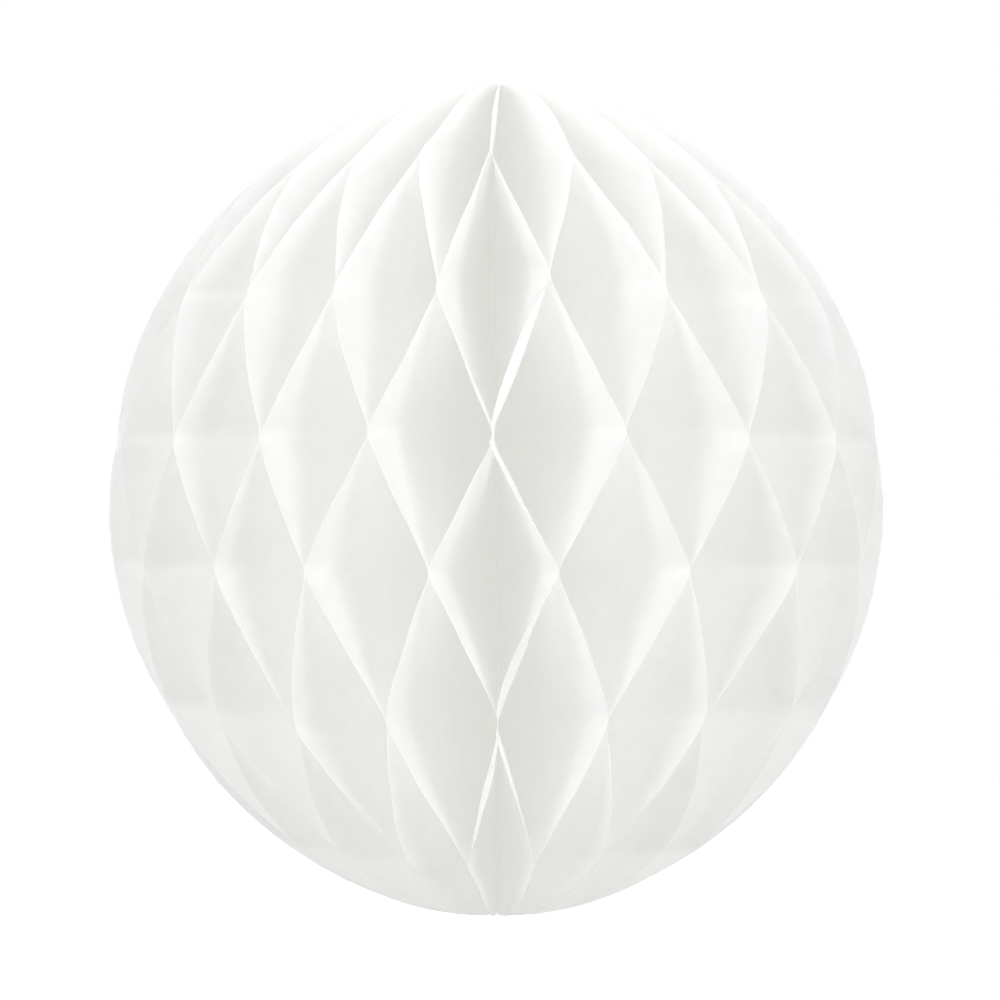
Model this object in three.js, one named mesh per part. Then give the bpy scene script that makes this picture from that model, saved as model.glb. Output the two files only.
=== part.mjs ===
// Honeycomb paper ball. Tissue leaves stand round a spine cord like the pages of a book opened all the way.
// Each leaf is glued to one neighbour along some level lines and to its other neighbour along the lines
// between them, so the open fan stretches into columns of diamond cells.
//
// Millimetres. The spine is the Z axis, the origin is the middle of the ball, and its front faces -Y.
// Angles round the spine count from the front, rising towards +X.

import * as THREE from 'three';

// Ball
const BALL_HEIGHT = 100; // pole to pole along the spine
const BALL_DIAMETER = 93; // rim to rim across the equator
const OUTLINE_POWER = 0.565; // 0.5 would make each leaf a half ellipse, and more draws its shoulders in
const LEAF_PAIRS = 20; // neighbouring leaves take turns with the two glue patterns, so leaves come in pairs

// Paper
const PAPER_THICKNESS = 0.15;
const GLUE_FILM = 0.06; // between two glued leaves, and between the leaves and the spine cord
const TIP_WIDTH = 0.6; // blunt end of a leaf at each pole

// Glue lines, as places on the flat paper
const FIRST_LINE = 8.8; // from the top pole down to the highest line
const LINE_PERIOD = 33.8; // from one line of a column to its next
const STAGGER = 0.48; // place of the next column's line within that period
const LINE_WIDTH = 1;
const LAST_LINE_MARGIN = 4; // a line nearer than this to the lower pole is left out

// Folds of a leaf between one glue line and the next
const BEND_STOPS = [0.2, 0.5, 0.8]; // shares of the way, where the leaf is creased
const BEND_ROUNDING = 0.05; // share of the way that each rounded end takes
const CAP_STEPS = 5; // creases of the curved rim between a pole and the line nearest to it
const LEAST_HEIGHT_KEPT = 0.4; // a leaning leaf keeps at least this share of its flat height

// Uneven opening by hand: the columns drift by slow waves round the ball, in degrees
const FRONT_TURN = 1.1;
const DRIFT_WAVES = [
  { perTurn: 1, sine: 2.8, cosine: 0 },
  { perTurn: 2, sine: -2.1, cosine: 0 },
  { perTurn: 3, sine: 0, cosine: -1.5 },
];

// Spine cord
const CORD_INSET = 0.5; // from each pole to the cord's end
const CORD_CHAMFER = 0.4;
const CORD_SIDES = 24;

const PAPER_COLOUR = 0xf3f3ef;
const CORD_COLOUR = 0xefece2;

// Worked out from the sizes above
const LEAF_COUNT = 2 * LEAF_PAIRS;
const MEAN_STEP = (2 * Math.PI) / LEAF_COUNT;
const POLE = BALL_HEIGHT / 2;
const LEAF_PITCH = PAPER_THICKNESS + GLUE_FILM; // middle to middle of two glued leaves
const SPINE_RADIUS = LEAF_PITCH / narrowestStep(); // where the straight edges stand shoulder to shoulder
const TIP_RADIUS = SPINE_RADIUS + TIP_WIDTH;
const LINES = glueLines();
const LEVELS = leafLevels();

// Angle of a column of glue points, in radians.
function columnAngle(column) {
  const even = column * MEAN_STEP;
  const drift = DRIFT_WAVES.reduce(
    (sum, wave) => sum + wave.sine * Math.sin(wave.perTurn * even) + wave.cosine * Math.cos(wave.perTurn * even),
    FRONT_TURN,
  );
  return even + THREE.MathUtils.degToRad(drift);
}

function narrowestStep() {
  const steps = Array.from({ length: LEAF_COUNT }, (_, i) => columnAngle(i + 1) - columnAngle(i));
  return Math.min(...steps);
}

// Heights of the glue lines on the flat paper, from the top down. Even ones belong to even columns.
function glueLines() {
  const lines = [];
  let height = POLE - FIRST_LINE;
  while (height > LAST_LINE_MARGIN - POLE) {
    lines.push(height);
    const share = lines.length % 2 === 1 ? STAGGER : 1 - STAGGER;
    height -= share * LINE_PERIOD;
  }
  return lines;
}

// Radius of the rim at a height in the open ball.
function rimRadius(height) {
  const inside = Math.max(0, 1 - (height / POLE) ** 2);
  return TIP_RADIUS + (BALL_DIAMETER / 2 - TIP_RADIUS) * inside ** OUTLINE_POWER;
}

// Paper doesn't stretch, so where a leaf leans from column to column it stands lower than when flat.
function heightKept(radius) {
  const lean = (radius * MEAN_STEP) / (LINE_PERIOD / 2);
  return Math.max(LEAST_HEIGHT_KEPT, Math.sqrt(Math.max(0, 1 - lean * lean)));
}

// Height at the spine of the paper line that meets the rim at a height in the open ball.
function spineHeight(height) {
  const flat = height / heightKept(rimRadius(height));
  return THREE.MathUtils.clamp(flat * heightKept(SPINE_RADIUS), -POLE, POLE);
}

// Height at the rim of a line on the flat paper, found by halving.
function rimHeight(flat) {
  let low = 0;
  let high = POLE;
  for (let step = 0; step < 40; step += 1) {
    const middle = (low + high) / 2;
    if (middle / heightKept(rimRadius(middle)) < Math.abs(flat)) low = middle;
    else high = middle;
  }
  return Math.sign(flat) * low;
}

// A straight rise from 0 to 1 with both ends rounded.
function eased(share) {
  const end = BEND_ROUNDING;
  if (share > 0.5) return 1 - eased(1 - share);
  if (share < end) return (share * share) / (2 * end * (1 - end));
  return (share - end / 2) / (1 - end);
}

// Level folds of a leaf from the top down. across is 0 at the even column beside it and 1 at the odd one.
function leafLevels() {
  const levels = [];
  const half = LINE_WIDTH / 2;
  const lastLine = LINES.length - 1;
  const capTop = Math.asin(rimHeight(LINES[0] + half) / POLE);
  const capBottom = Math.asin(rimHeight(LINES[lastLine] - half) / POLE);
  const rimAt = (angle, across) => levels.push({ height: POLE * Math.sin(angle), across });

  for (let step = 0; step < CAP_STEPS; step += 1) {
    rimAt(THREE.MathUtils.lerp(Math.PI / 2, capTop, step / CAP_STEPS), 0);
  }
  LINES.forEach((line, n) => {
    const across = n % 2;
    levels.push({ height: rimHeight(line + half), across });
    levels.push({ height: rimHeight(line - half), across });
    if (n === lastLine) return;
    for (const stop of BEND_STOPS) {
      const flat = THREE.MathUtils.lerp(line - half, LINES[n + 1] + half, stop);
      levels.push({ height: rimHeight(flat), across: across === 0 ? eased(stop) : 1 - eased(stop) });
    }
  });
  for (let step = 1; step <= CAP_STEPS; step += 1) {
    rimAt(THREE.MathUtils.lerp(capBottom, -Math.PI / 2, step / CAP_STEPS), lastLine % 2);
  }
  return levels;
}

// The leaf between one column and the next. It keeps to its own side of both columns.
function leafGeometry(column) {
  const from = columnAngle(column);
  const to = columnAngle(column + 1);
  const positions = [];
  for (const level of LEVELS) {
    const across = column % 2 === 0 ? level.across : 1 - level.across;
    const angle = THREE.MathUtils.lerp(from, to, across);
    const middle = (0.5 - across) * LEAF_PITCH;
    const outward = new THREE.Vector3(Math.sin(angle), -Math.cos(angle), 0);
    const sideways = new THREE.Vector3(Math.cos(angle), Math.sin(angle), 0);
    const put = (radius, height, side) => {
      const corner = outward.clone().multiplyScalar(radius);
      corner.addScaledVector(sideways, middle + (side * PAPER_THICKNESS) / 2);
      positions.push(corner.x, corner.y, height);
    };
    const rim = rimRadius(level.height);
    const atSpine = spineHeight(level.height);
    put(SPINE_RADIUS, atSpine, -1);
    put(rim, level.height, -1);
    put(rim, level.height, 1);
    put(SPINE_RADIUS, atSpine, 1);
  }

  const geometry = new THREE.BufferGeometry();
  geometry.setAttribute('position', new THREE.Float32BufferAttribute(positions, 3));
  geometry.setIndex(leafTriangles(LEVELS.length));
  geometry.computeVertexNormals();
  return geometry;
}

// Triangles over rings of four corners, listed from the top ring down. Both faces of the sheet are creased
// along the same diagonal, from the spine on the upper ring to the rim on the lower one.
function leafTriangles(rings) {
  const triangles = [0, 1, 2, 0, 2, 3];
  for (let ring = 0; ring < rings - 1; ring += 1) {
    const upper = 4 * ring;
    const lower = upper + 4;
    triangles.push(upper, lower, lower + 1, upper, lower + 1, upper + 1);
    triangles.push(upper + 1, lower + 1, lower + 2, upper + 1, lower + 2, upper + 2);
    triangles.push(upper + 3, lower + 2, lower + 3, upper + 3, upper + 2, lower + 2);
    triangles.push(upper + 3, lower + 3, lower, upper + 3, lower, upper);
  }
  const last = 4 * (rings - 1);
  triangles.push(last, last + 2, last + 1, last, last + 3, last + 2);
  return triangles;
}

function cordGeometry() {
  const radius = SPINE_RADIUS - GLUE_FILM;
  const end = POLE - CORD_INSET;
  const profile = [
    new THREE.Vector2(0, -end),
    new THREE.Vector2(radius - CORD_CHAMFER, -end),
    new THREE.Vector2(radius, CORD_CHAMFER - end),
    new THREE.Vector2(radius, end - CORD_CHAMFER),
    new THREE.Vector2(radius - CORD_CHAMFER, end),
    new THREE.Vector2(0, end),
  ];
  return new THREE.LatheGeometry(profile, CORD_SIDES).rotateX(Math.PI / 2);
}

function makeMesh(name, geometry, color, roughness) {
  const material = new THREE.MeshStandardMaterial({ color, roughness, metalness: 0, flatShading: true });
  const mesh = new THREE.Mesh(geometry, material);
  mesh.name = name;
  return mesh;
}

const ball = new THREE.Group();
ball.name = 'honeycomb_paper_ball';
ball.add(makeMesh('spine_cord', cordGeometry(), CORD_COLOUR, 0.9));
for (let column = 0; column < LEAF_COUNT; column += 1) {
  const name = `leaf_${String(column + 1).padStart(2, '0')}`;
  ball.add(makeMesh(name, leafGeometry(column), PAPER_COLOUR, 0.95));
}

export default ball;
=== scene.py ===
"""Dresses the honeycomb paper ball in tissue leaves and a twisted cord, with a floor, lamps and a camera."""
import math

import bpy
import numpy as np
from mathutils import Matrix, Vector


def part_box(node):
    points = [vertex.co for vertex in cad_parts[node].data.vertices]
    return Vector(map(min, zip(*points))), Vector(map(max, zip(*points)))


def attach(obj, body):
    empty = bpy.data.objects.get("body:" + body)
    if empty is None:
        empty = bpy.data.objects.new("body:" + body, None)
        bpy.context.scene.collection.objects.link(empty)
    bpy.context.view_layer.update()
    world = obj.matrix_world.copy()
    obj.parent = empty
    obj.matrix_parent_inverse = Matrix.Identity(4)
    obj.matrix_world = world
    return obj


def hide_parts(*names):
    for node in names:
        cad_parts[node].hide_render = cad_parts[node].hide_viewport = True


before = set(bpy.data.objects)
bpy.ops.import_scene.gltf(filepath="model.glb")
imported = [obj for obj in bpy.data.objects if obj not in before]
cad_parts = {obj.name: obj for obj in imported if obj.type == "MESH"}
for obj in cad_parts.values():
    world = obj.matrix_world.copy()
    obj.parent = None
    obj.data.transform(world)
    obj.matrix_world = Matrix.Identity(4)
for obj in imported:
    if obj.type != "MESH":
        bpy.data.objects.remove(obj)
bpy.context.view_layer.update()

MM = 0.001
LEAF_NAMES = sorted(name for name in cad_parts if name.startswith("leaf_"))
LEAF_COUNT = len(LEAF_NAMES)
MEAN_STEP = 2 * math.pi / LEAF_COUNT

# Ball and glue lines, in millimetres, with the sizes of the solids. Only the glued strips are narrower here.
POLE = 50.0
EQUATOR_RADIUS = 46.5
OUTLINE_POWER = 0.565
TIP_WIDTH = 0.66  # blunt end of a leaf at each pole, from the solid cord outwards
FIRST_LINE = 8.8
LINE_PERIOD = 33.8
STAGGER = 0.48
LINE_COUNT = 6
LINE_WIDTH = 0.5
TIP_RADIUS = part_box("spine_cord")[1].x / MM + TIP_WIDTH
LINES = [POLE - FIRST_LINE - LINE_PERIOD * (n // 2 + STAGGER * (n % 2)) for n in range(LINE_COUNT)]

# Drift of the columns round the ball, in degrees: waves per turn, sine and cosine
FRONT_TURN = 1.1
DRIFT_WAVES = [(1, 2.8, 0.0), (2, -2.1, 0.0), (3, 0.0, -1.5)]

# Tissue sheets, in millimetres
PAPER_THICKNESS = 0.04
GLUE_FILM = 0.01
SPINE_RADIUS = 0.34
BEND_ROUNDING = 0.05  # share of the way between two glue lines that each rounded end takes
CURL_DEPTH = 3.5  # how far in from the rim a curl reaches
CURL_FULLNESS = 0.7  # below 1 a curl is broader than a plain hump

# Grid of a sheet. Levels crowd towards the poles, and spans towards the rim.
LEVELS = 150
SPANS = 18
LEVEL_CROWDING = 0.3
SPAN_CROWDING = 1.6

# Spine cord, in millimetres
CORD_RADIUS = 0.3
CORD_INSET = 0.1
CORD_PLIES = 3
CORD_TURNS = 9
CORD_GROOVE = 0.22  # depth between two plies, as a share of the radius
GROOVE_SHARPNESS = 3
CORD_END_SHARPNESS = 60
CORD_END_WIDTH = 0.1  # squared share of the radius that is left at the blunt ends
CORD_RINGS = 160
CORD_SIDES = 36

# Unevenness of a ball opened by hand: spreads of the random slips, in degrees and millimetres
SEED = 20
TURN_SLIP = 0.3
HEIGHT_SLIP = 0.25
BOW = 0.35
CURL = 0.3
RAGGED_RIM = 0.03
CAP_TURN = 2.0
CAP_GAP = 0.2
CAP_SWAY = 0.1  # wave in the turn of a cap's rims, as a share of that turn
END_LEAD = 0.08  # how far the first and last free stretches run ahead of an even crossing

# Crinkles of a leaf: height in millimetres, and each wave's radians for a millimetre of radius and for one
# of height
CRINKLE = 0.05
CRINKLE_WAVES = [(0.55, 0.35), (0.23, -0.61), (0.9, 0.12)]

# Glue points of the front columns that lie out of place: column, line, turn in degrees and rise in
# millimetres. The other points of these columns have no slip.
FRONT_COLUMNS = 7
FRONT_SLIPS = [
    (0, 0, -0.8, 0.0),
    (0, 4, 0.8, 0.0),
    (1, 1, 0.0, 1.2),
    (5, 1, 0.0, -0.7),
    (2, 0, 0.0, -0.4),
    (-2, 0, 0.0, -0.4),
    (2, 2, 0.0, 0.7),
    (-2, 2, 0.0, 0.7),
    (-3, 3, -1.2, 0.0),
    (4, 4, -1.9, 0.0),
    (-4, 4, 0.0, -1.1),
    (-3, 5, 2.5, 0.0),
    (1, 5, 1.5, -0.5),
    (-1, 5, 1.5, -0.5),
]

# Leaves beside the front column, between two glue lines: leaf, line above, size in millimetres, and the share
# of the way down where it is largest. A curl turns the rim aside, and a bow swells the middle of the leaf.
FRONT_LEAVES = 5
EVEN_PEAK = 0.5
FRONT_CURLS = [
    (0, 1, -1.5, 0.45),
    (-1, 1, 0.45, 0.6),
    (0, 2, -0.55, 0.18),
    (0, 3, -1.2, 0.6),
    (0, 4, -0.8, 0.35),
    (-1, 4, 1.2, 0.55),
]
FRONT_BOWS = [
    (-1, 0, 0.3, 0.5),
    (-1, 1, -0.5, 0.5),
    (-1, 2, 0.9, 0.4),
    (-1, 3, 0.7, 0.5),
    (0, 0, -0.5, 0.5),
    (0, 1, 0.2, 0.5),
    (0, 2, 0.2, 0.5),
    (0, 3, 0.2, 0.5),
]

# The pair of rims of a column between its end glue line and the pole: column, turn in degrees by the pole,
# curl of the rims in millimetres, and half of the gap between them
FRONT_CAPS = [
    (0, 3.0, -1.0, 0.0),
    (-2, 6.0, 0.0, 0.2),
    (2, 0.0, 0.0, 0.2),
    (-1, 5.0, -0.5, 0.0),
    (1, 0.6, 0.0, 0.0),
]

# Bend of the spine towards +X, in millimetres, from the lower pole up
SPINE_HEIGHTS = [-50, -30, -12, 5, 22, 36, 50]
SPINE_BEND = [0.0, 0.3, 0.45, 0.0, -0.65, -0.6, 0.45]

# Looks of the paper and the cord
FLAT_MAP = "flat_paper"
FLAT_UNIT = 100  # millimetres of flat paper to one unit of its map
FLAT_MIDDLE = 0.5  # place on the map of the level halfway between the poles
PAPER_CLOUDS = {"Scale": 45, "Detail": 3, "Roughness": 0.65}
PAPER_FIBRES = {"Scale": 260, "Detail": 2, "Roughness": 0.7}
PAPER_TINTS = (0.914, 0.916, 0.913, 1), (0.953, 0.955, 0.952, 1)
PAPER_BUMP = {"Strength": 0.15, "Distance": 0.0001}
PAPER_SURFACE = {"Roughness": 0.85, "Specular IOR Level": 0.2}
LIGHT_LET_THROUGH = 0.52
CORD_FIBRES = {"Scale": 4000, "Detail": 3, "Roughness": 0.7}
CORD_FIBRE_STRETCH = (1, 1, 0.25)
CORD_TINTS = (0.84, 0.82, 0.77, 1), (0.93, 0.92, 0.89, 1)
CORD_BUMP = {"Strength": 0.4, "Distance": 0.0001}
CORD_SURFACE = {"Roughness": 0.9}

# Places of the colour sockets on a Mix node
MIX_FIRST, MIX_SECOND, MIX_RESULT = 6, 7, 2

# Light. Lamps stand a metre from the ball: azimuth and elevation in degrees, width and height in metres,
# power in watts and colour.
COOL = (0.95, 0.945, 1.0)
PLAIN = (1.0, 0.99, 0.985)
WARM = (1.0, 0.99, 0.955)
SOFTBOXES = [
    ("key_left", -36, 20, 0.3, 0.6, 3.0, COOL),
    ("key_right", 36, 20, 0.3, 0.6, 3.0, COOL),
    ("left", -62, 6, 1.0, 1.0, 3.35, PLAIN),
    ("right", 62, 6, 1.0, 1.0, 3.35, PLAIN),
    ("side_left", -105, 15, 1.0, 1.0, 3.05, PLAIN),
    ("side_right", 105, 15, 1.0, 1.0, 3.05, PLAIN),
    ("back_left", -150, 25, 0.9, 0.9, 4.35, PLAIN),
    ("back_right", 150, 25, 0.9, 0.9, 4.35, PLAIN),
]
# Fills cast no shadow: they stand for the light that thin paper scatters on through the whole ball.
FILLS = [
    ("left_fill", -90, 6, 0.8, 0.8, 1.09, WARM),
    ("right_fill", 90, 6, 0.8, 0.8, 1.09, WARM),
    ("front_fill", 0, 6, 0.8, 0.8, 1.63, WARM),
]
WORLD_STRENGTH = 0.22

# Floor and camera, in metres. The floor looks white to the camera, with the ball's shadow left on it.
FLOOR_RADIUS = 0.6
FLOOR_HEIGHT = -0.085
FLOOR_SIDES = 96
FLOOR_PAINT = (0.5, 0.5, 0.5, 1)
FLOOR_GLOW = 0.62
CAMERA_PLACE = (0.00048, -0.404, -0.00012)
SENSOR_WIDTH = 36
LENS = 120.4

rng = np.random.default_rng(SEED)
turn_slips = np.radians(rng.normal(0, TURN_SLIP, (LEAF_COUNT, LINE_COUNT)))
height_slips = rng.normal(0, HEIGHT_SLIP, (LEAF_COUNT, LINE_COUNT))
bows = rng.normal(0, BOW, (LEAF_COUNT, LINE_COUNT - 1))
curls = rng.normal(0, CURL, (LEAF_COUNT, LINE_COUNT - 1))
cap_turns = rng.normal(0, CAP_TURN, LEAF_COUNT)
phases = rng.uniform(0, 2 * math.pi, (LEAF_COUNT, len(CRINKLE_WAVES)))
bow_peaks = np.full_like(bows, EVEN_PEAK)
curl_peaks = np.full_like(curls, EVEN_PEAK)
cap_curls = np.zeros(LEAF_COUNT)
cap_gaps = np.full(LEAF_COUNT, CAP_GAP)

for column in range(-FRONT_COLUMNS, FRONT_COLUMNS + 1):
    turn_slips[column] = 0
    height_slips[column] = 0
for column, line, turn, rise in FRONT_SLIPS:
    turn_slips[column, line] = math.radians(turn)
    height_slips[column, line] = rise
curls[-FRONT_LEAVES:] = 0
curls[:FRONT_LEAVES] = 0
for leaf, line, size, peak in FRONT_CURLS:
    curls[leaf, line] = size
    curl_peaks[leaf, line] = peak
for leaf, line, size, peak in FRONT_BOWS:
    bows[leaf, line] = size
    bow_peaks[leaf, line] = peak
for column, turn, curl, gap in FRONT_CAPS:
    cap_turns[column] = turn
    cap_curls[column] = curl
    cap_gaps[column] = gap


def column_angle(column):
    even = column * MEAN_STEP
    drift = FRONT_TURN
    for per_turn, sine, cosine in DRIFT_WAVES:
        drift += sine * math.sin(per_turn * even) + cosine * math.cos(per_turn * even)
    return even + math.radians(drift)


def rim_radius(height):
    inside = np.clip(1 - (height / POLE) ** 2, 0, None)
    return TIP_RADIUS + (EQUATOR_RADIUS - TIP_RADIUS) * inside ** OUTLINE_POWER


def height_kept(radius):
    """Share of its flat height that the leaning paper keeps at a radius."""
    return np.sqrt(1 - (radius * MEAN_STEP / (LINE_PERIOD / 2)) ** 2)


def spine_bend(height):
    return np.interp(height, SPINE_HEIGHTS, SPINE_BEND)


def eased(share):
    """A straight rise from 0 to 1 with both ends rounded."""
    near = np.minimum(share, 1 - share)
    end = BEND_ROUNDING
    rise = np.where(near < end, near ** 2 / (2 * end * (1 - end)), (near - end / 2) / (1 - end))
    return np.where(share > 0.5, 1 - rise, rise)


def swell(share, peak):
    """A hump from 0 to 1 and back, largest at the given share of the way."""
    return np.sin(math.pi * share ** (math.log(0.5) / math.log(peak)))


def anchor(leaf, line):
    """Column that holds a leaf at a glue line, the height and angle there, and the leaf's side of it."""
    ahead = (leaf + line) % 2
    column = (leaf + ahead) % LEAF_COUNT
    angle = column_angle(leaf + ahead) + turn_slips[column, line]
    height = LINES[line] + height_slips[column, line]
    return column, height, angle, 1 - 2 * ahead


def leaf_lean(leaf, flat):
    """How a leaf lies at each height of its flat paper, as named arrays."""
    half = LINE_WIDTH / 2
    last = LINE_COUNT - 1
    anchors = [anchor(leaf, line) for line in range(LINE_COUNT)]
    lean = {name: np.zeros_like(flat) for name in ("angle", "side", "bow", "curl", "apart", "loose")}

    for _, height, angle, side in anchors:
        held = np.abs(flat - height) <= half
        lean["angle"][held] = angle
        lean["side"][held] = side

    for line in range(last):
        _, height, angle, side = anchors[line]
        _, next_height, next_angle, next_side = anchors[line + 1]
        top, low = height - half, next_height + half
        free = (flat < top) & (flat > low)
        share = (top - flat[free]) / (top - low)
        lead = END_LEAD * ((line == 0) - (line == last - 1))
        crossed = eased(share) + lead * np.sin(math.pi * share)
        lean["angle"][free] = angle + (next_angle - angle) * crossed
        lean["side"][free] = side + (next_side - side) * crossed
        lean["bow"][free] = bows[leaf, line] * swell(share, bow_peaks[leaf, line])
        lean["curl"][free] = curls[leaf, line] * swell(share, curl_peaks[leaf, line]) ** CURL_FULLNESS
        lean["loose"][free] = swell(share, EVEN_PEAK)

    for line, sign in ((0, 1), (last, -1)):
        column, height, angle, side = anchors[line]
        edge = height + sign * half
        cap = (flat - edge) * sign > 0
        share = (flat[cap] - edge) * sign / (POLE - abs(edge))
        turn = math.radians(cap_turns[column])
        lean["angle"][cap] = angle + turn * (share + CAP_SWAY * np.sin(2 * math.pi * share))
        lean["side"][cap] = side
        lean["curl"][cap] = cap_curls[column] * np.sin(math.pi * share)
        lean["apart"][cap] = side * cap_gaps[column] * np.sin(math.pi * share)
    return lean


def leaf_middle(leaf):
    """Points of the middle of a leaf's paper, level by level, and their places on the flat paper."""
    way = np.linspace(1, -1, LEVELS + 1)
    crowded = 1.5 * way - 0.5 * way ** 3
    rim_height = POLE * ((1 - LEVEL_CROWDING) * way + LEVEL_CROWDING * crowded)
    rim = rim_radius(rim_height)
    flat = rim_height / height_kept(rim)
    leaf_rng = np.random.default_rng(SEED + 1 + leaf)
    rim = rim + leaf_rng.normal(0, RAGGED_RIM, rim.shape)
    lean = {name: values[:, None] for name, values in leaf_lean(leaf, flat).items()}

    out = 1 - (1 - np.linspace(0, 1, SPANS + 1)) ** SPAN_CROWDING
    radius = SPINE_RADIUS + (rim - SPINE_RADIUS)[:, None] * out[None, :]
    height = np.clip(flat[:, None] * height_kept(radius), -POLE, POLE)
    reach = radius / EQUATOR_RADIUS
    near_rim = np.clip(1 - (rim[:, None] - radius) / CURL_DEPTH, 0, 1) ** 2
    crinkle = sum(
        np.sin(outward * radius + upward * height + phase)
        for (outward, upward), phase in zip(CRINKLE_WAVES, phases[leaf])
    )
    offset = lean["side"] * (PAPER_THICKNESS + GLUE_FILM) / 2
    offset = offset + reach * np.sin(math.pi * out)[None, :] * lean["bow"]
    offset = offset + reach * near_rim * lean["curl"]
    offset = offset + reach * (lean["apart"] + CRINKLE * lean["loose"] * crinkle)

    x = np.sin(lean["angle"]) * radius + np.cos(lean["angle"]) * offset
    y = -np.cos(lean["angle"]) * radius + np.sin(lean["angle"]) * offset
    x = x + spine_bend(height) * (1 - reach) ** 2
    points = np.stack([x, y, height], axis=-1)
    across = radius / FLAT_UNIT + leaf
    along = np.broadcast_to(flat[:, None] / FLAT_UNIT + FLAT_MIDDLE, radius.shape)
    return points, np.stack([across, along], axis=-1)


def sheet_normals(points):
    down = np.gradient(points, axis=0)
    outward = np.gradient(points, axis=1)
    normal = np.cross(outward, down)
    length = np.linalg.norm(normal, axis=-1, keepdims=True)
    return normal / np.maximum(length, 1e-9)


def new_piece(name, points, faces):
    """A smooth mesh object, with its points in millimetres."""
    mesh = bpy.data.meshes.new(name)
    mesh.from_pydata((points * MM).tolist(), [], faces)
    mesh.update(calc_edges=True)
    mesh.shade_smooth()
    piece = bpy.data.objects.new(name, mesh)
    bpy.context.scene.collection.objects.link(piece)
    return piece


def paper_piece(name, points, flat_place, thickness):
    """A closed thin sheet over a grid of points, with its flat places as a UV map."""
    rows, columns = points.shape[:2]
    lift = sheet_normals(points) * thickness / 2
    front = (points + lift).reshape(-1, 3)
    back = (points - lift).reshape(-1, 3)
    number = np.arange(rows * columns).reshape(rows, columns)
    corners = [number[:-1, :-1], number[1:, :-1], number[1:, 1:], number[:-1, 1:]]
    quads = np.stack(corners, axis=-1).reshape(-1, 4)
    shift = rows * columns
    border = np.concatenate([number[0, :-1], number[:-1, -1], number[-1, :0:-1], number[:0:-1, 0]])
    after = np.roll(border, -1)
    walls = np.stack([border, after, after + shift, border + shift], axis=-1)
    faces = np.concatenate([quads[:, ::-1], quads + shift, walls[:, ::-1]])
    piece = new_piece(name, np.concatenate([front, back]), faces.tolist())
    mesh = piece.data

    on_border = np.zeros(2 * shift, bool)
    on_border[border] = True
    on_border[border + shift] = True
    edges = np.zeros(2 * len(mesh.edges), np.int32)
    mesh.edges.foreach_get("vertices", edges)
    edges = edges.reshape(-1, 2)
    same_side = (edges[:, 0] < shift) == (edges[:, 1] < shift)
    sharp = on_border[edges].all(axis=1) & same_side
    mesh.attributes.new("sharp_edge", "BOOLEAN", "EDGE").data.foreach_set("value", sharp)

    loops = np.zeros(len(mesh.loops), np.int32)
    mesh.loops.foreach_get("vertex_index", loops)
    places = np.concatenate([flat_place.reshape(-1, 2)] * 2)
    mesh.uv_layers.new(name=FLAT_MAP).data.foreach_set("uv", places[loops].ravel())
    return piece


def cord_piece(name, radius, end):
    """Plies twisted together, as rings of points from the lower end up."""
    angle = np.linspace(0, 2 * math.pi, CORD_SIDES, endpoint=False)
    height = np.linspace(-end, end, CORD_RINGS)
    groove = np.abs(np.sin(CORD_PLIES * angle / 2)) ** GROOVE_SHARPNESS
    twist = height[:, None] / end * CORD_TURNS * math.pi
    full = 1 - np.abs(height / end) ** CORD_END_SHARPNESS
    taper = np.sqrt(np.clip(full, CORD_END_WIDTH, 1))[:, None]
    x = radius * taper * (1 - CORD_GROOVE * groove) * np.cos(angle + twist)
    y = radius * taper * (1 - CORD_GROOVE * groove) * np.sin(angle + twist)
    x = x + spine_bend(height)[:, None]
    points = np.stack([x, y, np.broadcast_to(height[:, None], x.shape)], axis=-1).reshape(-1, 3)
    number = np.arange(CORD_RINGS * CORD_SIDES).reshape(CORD_RINGS, CORD_SIDES)
    right = np.roll(number, -1, axis=1)
    faces = np.stack([number[:-1], right[:-1], right[1:], number[1:]], axis=-1).reshape(-1, 4).tolist()
    faces.append(number[0, ::-1].tolist())
    faces.append(number[-1].tolist())
    return new_piece(name, points, faces)


def new_node(tree, kind, **sockets):
    node = tree.nodes.new(kind)
    for socket, value in sockets.items():
        node.inputs[socket].default_value = value
    return node


def new_material(name):
    material = bpy.data.materials.new(name)
    material.use_nodes = True
    material.node_tree.nodes.clear()
    return material


def tint_node(tree, noise, tints):
    """A colour that goes from one tint to the other with a noise."""
    tint = new_node(tree, "ShaderNodeMix")
    tint.data_type = "RGBA"
    tint.inputs[MIX_FIRST].default_value = tints[0]
    tint.inputs[MIX_SECOND].default_value = tints[1]
    tree.links.new(noise.outputs["Fac"], tint.inputs[0])
    return tint


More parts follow.
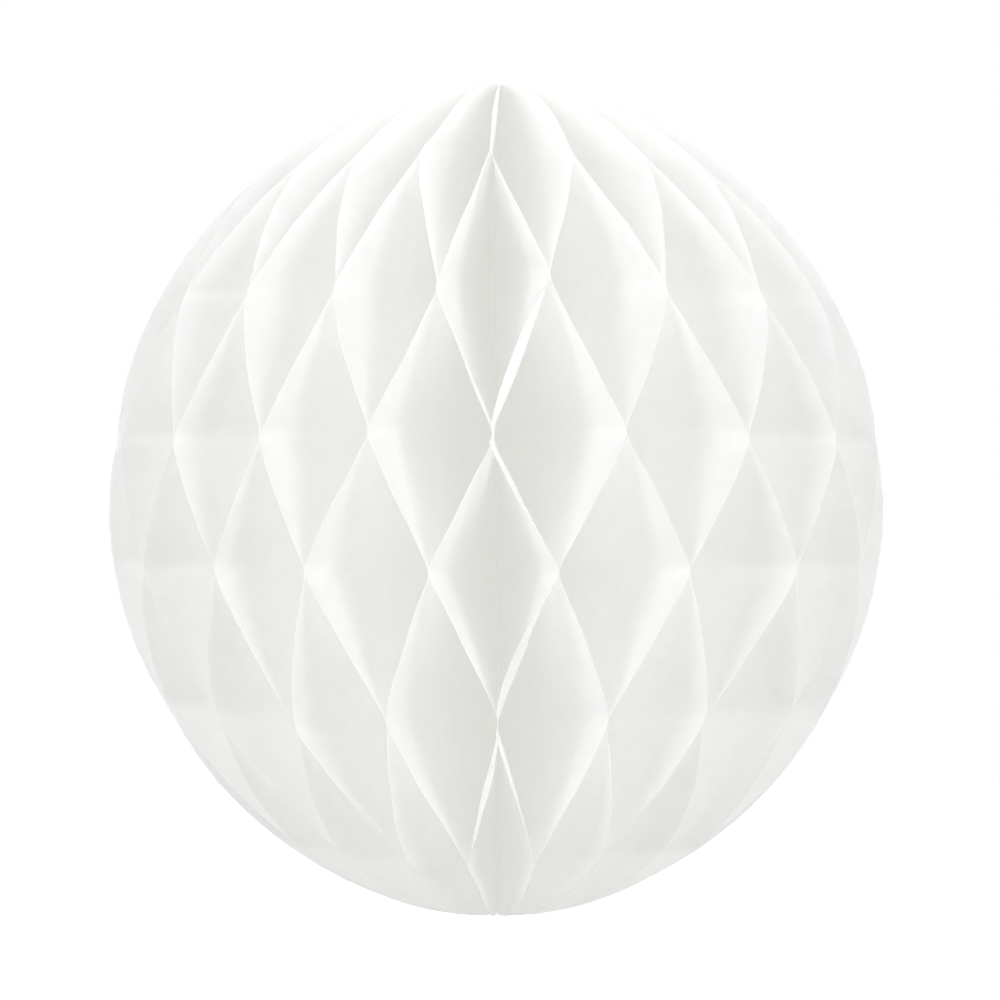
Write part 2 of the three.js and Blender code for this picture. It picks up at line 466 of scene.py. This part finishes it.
def tissue_material():
    material = new_material("tissue_paper")
    tree = material.node_tree
    link = tree.links.new
    place = tree.nodes.new("ShaderNodeUVMap")
    place.uv_map = FLAT_MAP
    clouds = new_node(tree, "ShaderNodeTexNoise", **PAPER_CLOUDS)
    fibres = new_node(tree, "ShaderNodeTexNoise", **PAPER_FIBRES)
    for noise in (clouds, fibres):
        noise.noise_dimensions = "2D"
        link(place.outputs["UV"], noise.inputs["Vector"])
    tint = tint_node(tree, clouds, PAPER_TINTS)
    rough = new_node(tree, "ShaderNodeBump", **PAPER_BUMP)
    link(fibres.outputs["Fac"], rough.inputs["Height"])

    surface = new_node(tree, "ShaderNodeBsdfPrincipled", **PAPER_SURFACE)
    through = new_node(tree, "ShaderNodeBsdfTranslucent")
    for shader, socket in ((surface, "Base Color"), (through, "Color")):
        link(tint.outputs[MIX_RESULT], shader.inputs[socket])
        link(rough.outputs["Normal"], shader.inputs["Normal"])
    both = new_node(tree, "ShaderNodeMixShader", Fac=LIGHT_LET_THROUGH)
    link(surface.outputs[0], both.inputs[1])
    link(through.outputs[0], both.inputs[2])
    out = tree.nodes.new("ShaderNodeOutputMaterial")
    link(both.outputs[0], out.inputs["Surface"])
    return material


def cord_material():
    material = new_material("cotton_cord")
    tree = material.node_tree
    link = tree.links.new
    place = tree.nodes.new("ShaderNodeTexCoord")
    stretch = new_node(tree, "ShaderNodeMapping", Scale=CORD_FIBRE_STRETCH)
    fibres = new_node(tree, "ShaderNodeTexNoise", **CORD_FIBRES)
    tint = tint_node(tree, fibres, CORD_TINTS)
    fuzz = new_node(tree, "ShaderNodeBump", **CORD_BUMP)
    surface = new_node(tree, "ShaderNodeBsdfPrincipled", **CORD_SURFACE)
    out = tree.nodes.new("ShaderNodeOutputMaterial")
    link(place.outputs["Object"], stretch.inputs["Vector"])
    link(stretch.outputs["Vector"], fibres.inputs["Vector"])
    link(fibres.outputs["Fac"], fuzz.inputs["Height"])
    link(tint.outputs[MIX_RESULT], surface.inputs["Base Color"])
    link(fuzz.outputs["Normal"], surface.inputs["Normal"])
    link(surface.outputs[0], out.inputs["Surface"])
    return material


def floor_material():
    """A pale paint with a glow for the camera alone, so no lamp is looked for on the floor."""
    material = new_material("pale_floor")
    material.cycles.emission_sampling = "NONE"
    tree = material.node_tree
    link = tree.links.new
    paint = new_node(tree, "ShaderNodeBsdfDiffuse", Color=FLOOR_PAINT)
    path = tree.nodes.new("ShaderNodeLightPath")
    glow = new_node(tree, "ShaderNodeEmission")
    share = new_node(tree, "ShaderNodeMath")
    share.operation = "MULTIPLY"
    share.inputs[1].default_value = FLOOR_GLOW
    link(path.outputs["Is Camera Ray"], share.inputs[0])
    link(share.outputs[0], glow.inputs["Strength"])
    both = tree.nodes.new("ShaderNodeAddShader")
    link(paint.outputs[0], both.inputs[0])
    link(glow.outputs[0], both.inputs[1])
    out = tree.nodes.new("ShaderNodeOutputMaterial")
    link(both.outputs[0], out.inputs["Surface"])
    return material


def make_world():
    """White where the camera or a reflection sees it, and a weaker light on everything else."""
    world = bpy.data.worlds.new("studio")
    world.use_nodes = True
    tree = world.node_tree
    tree.nodes.clear()
    link = tree.links.new
    seen = new_node(tree, "ShaderNodeBackground", Color=(1, 1, 1, 1), Strength=1)
    light = new_node(tree, "ShaderNodeBackground", Color=(*PLAIN, 1), Strength=WORLD_STRENGTH)
    path = tree.nodes.new("ShaderNodeLightPath")
    either = new_node(tree, "ShaderNodeMath")
    either.operation = "MAXIMUM"
    link(path.outputs["Is Camera Ray"], either.inputs[0])
    link(path.outputs["Is Glossy Ray"], either.inputs[1])
    mix = tree.nodes.new("ShaderNodeMixShader")
    link(either.outputs[0], mix.inputs[0])
    link(light.outputs[0], mix.inputs[1])
    link(seen.outputs[0], mix.inputs[2])
    out = tree.nodes.new("ShaderNodeOutputWorld")
    link(mix.outputs[0], out.inputs["Surface"])
    bpy.context.scene.world = world


def make_floor():
    place = (0, 0, FLOOR_HEIGHT)
    bpy.ops.mesh.primitive_circle_add(
        vertices=FLOOR_SIDES, radius=FLOOR_RADIUS, fill_type="NGON", location=place
    )
    floor = bpy.context.object
    floor.name = "floor"
    floor.data.materials.append(floor_material())


def make_lamp(name, azimuth, elevation, width, height, power, colour, shadow):
    """An oblong lamp a metre from the ball, turned towards it."""
    turn, rise = math.radians(azimuth), math.radians(elevation)
    data = bpy.data.lights.new(name, "AREA")
    data.shape = "RECTANGLE"
    data.size = width
    data.size_y = height
    data.energy = power
    data.color = colour
    data.use_shadow = shadow
    data.cycles.use_multiple_importance_sampling = shadow
    lamp = bpy.data.objects.new(name, data)
    lamp.location = (math.sin(turn) * math.cos(rise), -math.cos(turn) * math.cos(rise), math.sin(rise))
    lamp.rotation_euler = (-lamp.location).to_track_quat("-Z", "Y").to_euler()
    bpy.context.scene.collection.objects.link(lamp)


def make_camera():
    data = bpy.data.cameras.new("camera")
    data.sensor_width = SENSOR_WIDTH
    data.lens = LENS
    camera = bpy.data.objects.new("camera", data)
    camera.location = CAMERA_PLACE
    camera.rotation_euler = (math.pi / 2, 0, 0)
    bpy.context.scene.collection.objects.link(camera)
    bpy.context.scene.camera = camera


bpy.context.scene.view_settings.view_transform = "Standard"
# The lamps are few and alike, so a light tree would only slow the render.
bpy.context.scene.cycles.use_light_tree = False
make_camera()
make_world()
make_floor()
for lamp in SOFTBOXES:
    make_lamp(*lamp, shadow=True)
for lamp in FILLS:
    make_lamp(*lamp, shadow=False)

tissue = tissue_material()
for leaf, node in enumerate(LEAF_NAMES):
    middle, flat_place = leaf_middle(leaf)
    piece = paper_piece("tissue_" + node, middle, flat_place, PAPER_THICKNESS)
    piece.data.materials.append(tissue)
    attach(piece, "root")
    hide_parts(node)

cord = cord_piece("spine_twist", CORD_RADIUS, POLE - CORD_INSET)
cord.data.materials.append(cord_material())
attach(cord, "root")
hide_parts("spine_cord")
